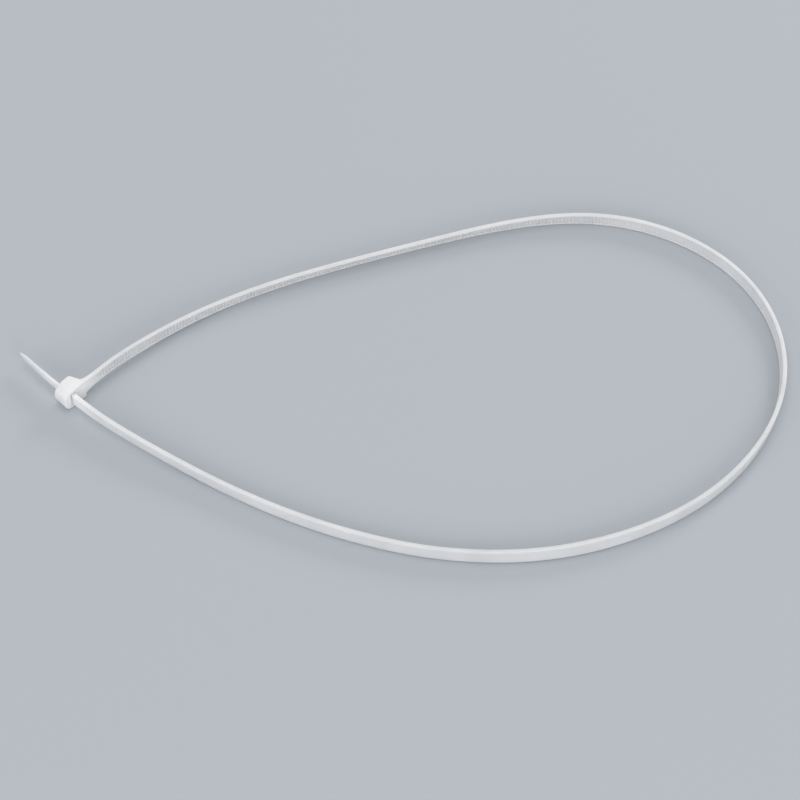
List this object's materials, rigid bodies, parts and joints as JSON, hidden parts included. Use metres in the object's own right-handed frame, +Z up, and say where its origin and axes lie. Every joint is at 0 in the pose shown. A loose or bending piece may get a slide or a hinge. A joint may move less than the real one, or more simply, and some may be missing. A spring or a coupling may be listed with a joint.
{
  "type": "cable tie",
  "caption": "One-piece moulded cable tie, closed into a loop: a toothed strap runs through the slot of its head, where a pawl holds it.",
  "frame": {"origin": "on the head's underside, below the middle of the slot, on the surface that the tie lies on", "axes": "+X along the long way of the loop, from the head to the loop's far end; +Z up, across the strap; the strap leaves the head 47 degrees from +X towards +Y and comes back through the slot at right angles to that"},
  "size_m": [0.2489, 0.1373, 0.0085],
  "materials": {
    "nylon": "satin, slightly translucent natural nylon"
  },
  "bodies": {
    "root": {"cable_tie": "nylon"}
  },
  "joints": []
}
